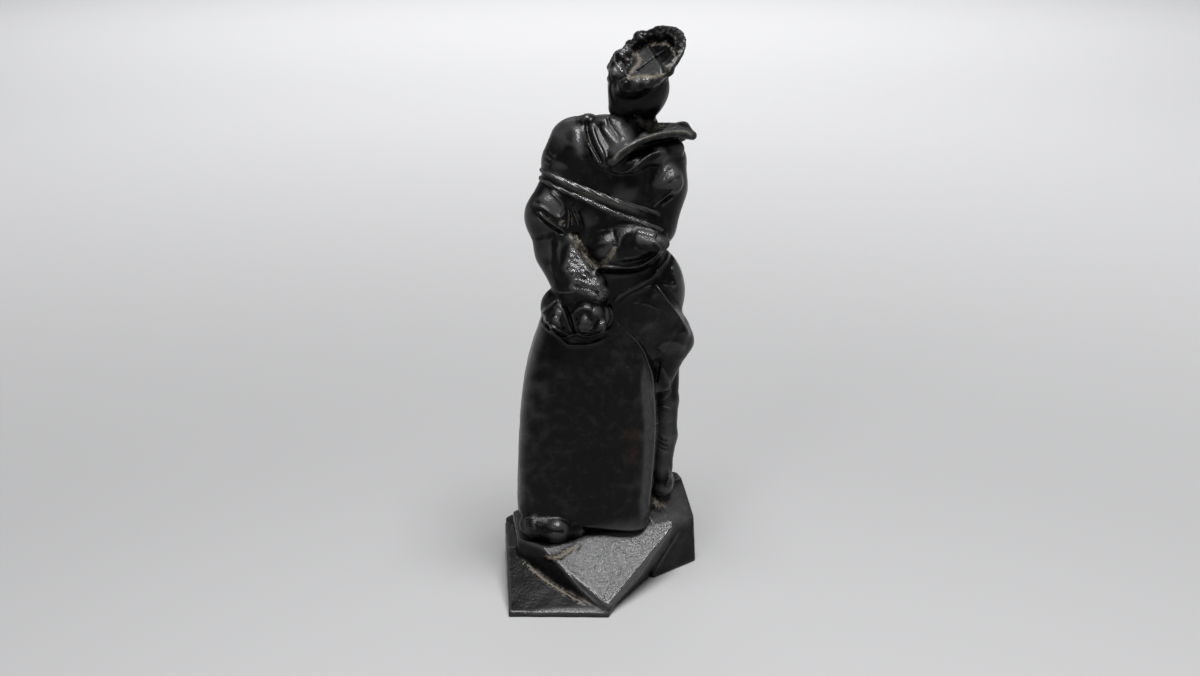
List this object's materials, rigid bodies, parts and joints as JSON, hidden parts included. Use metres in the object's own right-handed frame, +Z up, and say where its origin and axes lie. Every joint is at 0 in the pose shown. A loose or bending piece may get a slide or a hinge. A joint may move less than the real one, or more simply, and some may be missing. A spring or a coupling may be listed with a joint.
{
  "type": "cast iron figurine",
  "caption": "Small iron statue of a captive in a long coat and fur hat, arms roped behind the back, standing on a cut rock.",
  "frame": {"origin": "middle of the bounding box's bottom face, on the underside of the rock", "axes": "+Z up, +Y the way the figure's body faces, +X its right side"},
  "size_m": [0.093, 0.084, 0.2608],
  "materials": {
    "black_iron": "black semi-gloss, lightly pitted, with pale dust in the hollows and traces of brown rust"
  },
  "bodies": {
    "root": {"statue_casting": "black_iron"}
  },
  "joints": []
}
